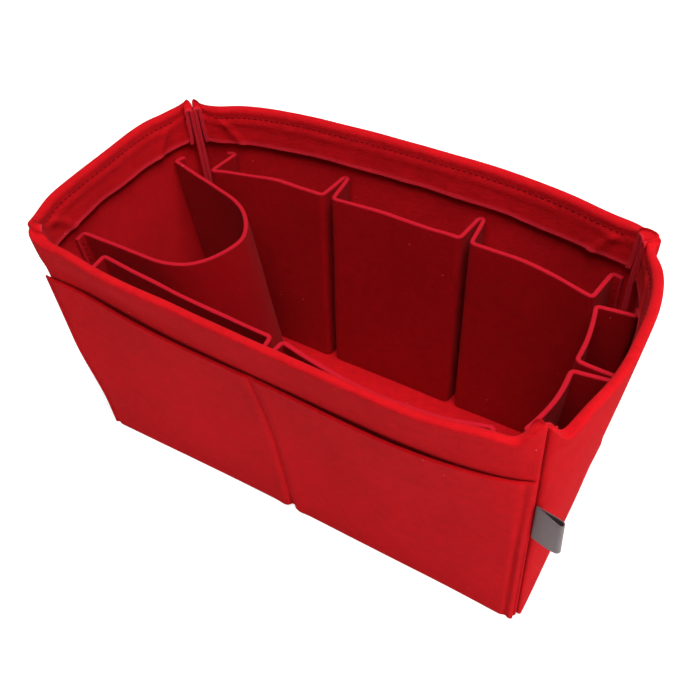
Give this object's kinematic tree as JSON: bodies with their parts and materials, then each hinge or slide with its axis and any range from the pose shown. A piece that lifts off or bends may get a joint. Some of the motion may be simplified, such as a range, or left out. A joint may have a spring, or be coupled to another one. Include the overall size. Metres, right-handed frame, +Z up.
{
  "type": "purse organizer insert",
  "caption": "Open felt box that sits in a handbag and divides it, with pleated pockets sewn inside, a curved bottle holder, flat outer pockets and a folded tape label in a corner seam.",
  "frame": {"origin": "middle of the underside, midway between the four corner seams, on the plane that the base stands on", "axes": "+X along the long front wall towards the end with the label and the small end pockets, +Y from the front wall to the back wall, +Z up to the rim"},
  "size_m": [0.3359, 0.1905, 0.17],
  "materials": {
    "wall_felt": "matte red needled felt",
    "pocket_felt": "matte red needled felt, a little thinner",
    "label_tape": "satin grey woven tape, bare"
  },
  "bodies": {
    "insert": {"base_panel": "wall_felt", "front_panel": "wall_felt", "back_panel": "wall_felt", "left_end_panel": "wall_felt", "right_end_panel": "wall_felt", "back_pocket_strip": "pocket_felt", "front_pocket_strip": "pocket_felt", "end_pocket_strip": "pocket_felt", "bottle_holder": "pocket_felt", "front_outer_pocket": "wall_felt", "back_outer_pocket": "wall_felt"},
    "label": {"side_label": "label_tape"}
  },
  "joints": [
    {"name": "label_hinge", "type": "hinge", "parent": "insert", "child": "label", "pos_m": [0.1489, -0.0689, 0.0995], "axis": [0, 0, 1], "range_deg": [-85, 30]}
  ]
}
